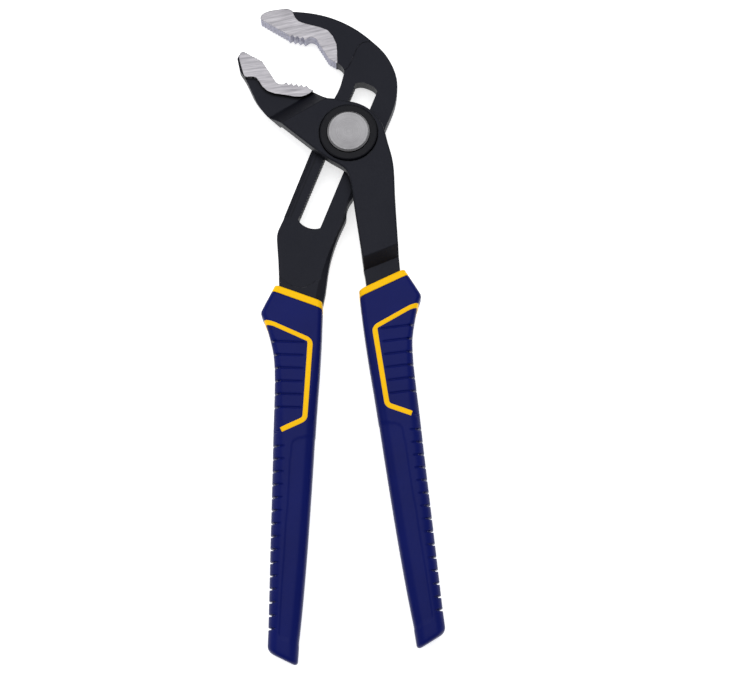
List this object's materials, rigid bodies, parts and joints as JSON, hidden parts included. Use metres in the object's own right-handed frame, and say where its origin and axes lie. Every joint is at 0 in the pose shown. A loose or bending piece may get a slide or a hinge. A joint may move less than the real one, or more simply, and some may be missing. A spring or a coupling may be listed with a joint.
{
  "type": "tongue and groove pliers",
  "caption": "Slip-joint water pump pliers with offset toothed jaws, a racked slot, a push-button sliding pivot and moulded two-colour grips.",
  "frame": {"origin": "on the pivot axis, at the flat outer face of the rear pivot plate, which lies on the table", "axes": "+Z along the pivot axis towards the push button, +Y towards the jaws, +X from the left handle towards the right handle"},
  "size_m": [0.0958, 0.3055, 0.02],
  "materials": {
    "black_forging": "black oxide forging with fine grain; the jaws are ground bright",
    "black_hub": "black, turned",
    "satin_button": "satin turned steel with a bright chamfer",
    "plain_steel": "plain hardened steel",
    "yellow_core": "smooth moulded polypropylene",
    "navy_rubber": "satin thermoplastic rubber"
  },
  "bodies": {
    "rear_lever": {"slotted_lever": "black_forging", "left_grip_core": "yellow_core", "left_grip_pad": "navy_rubber", "left_grip_cover": "navy_rubber"},
    "pivot": {"pivot_hub": "black_hub", "rear_plate": "black_hub", "thrust_washer": "plain_steel", "button_spring": "plain_steel"},
    "front_lever": {"front_lever": "black_forging", "right_grip_core": "yellow_core", "right_grip_pad": "navy_rubber", "right_grip_cover": "navy_rubber"},
    "button": {"push_button": "satin_button", "latch_pin": "plain_steel"}
  },
  "joints": [
    {"name": "pivot_slide", "type": "slide", "parent": "rear_lever", "child": "pivot", "axis": [0.3665, 0.9304, 0], "range_m": [-0.028, 0.012]},
    {"name": "lever_hinge", "type": "hinge", "parent": "pivot", "child": "front_lever", "pos_m": [0, 0, 0], "axis": [0, 0, 1], "range_deg": [-4, 30]},
    {"name": "button_press", "type": "slide", "parent": "pivot", "child": "button", "axis": [0, 0, -1], "range_m": [0, 0.003], "stiffness_N_per_m": 1500, "springref_m": -0.002, "deforming": ["button_spring"]}
  ]
}
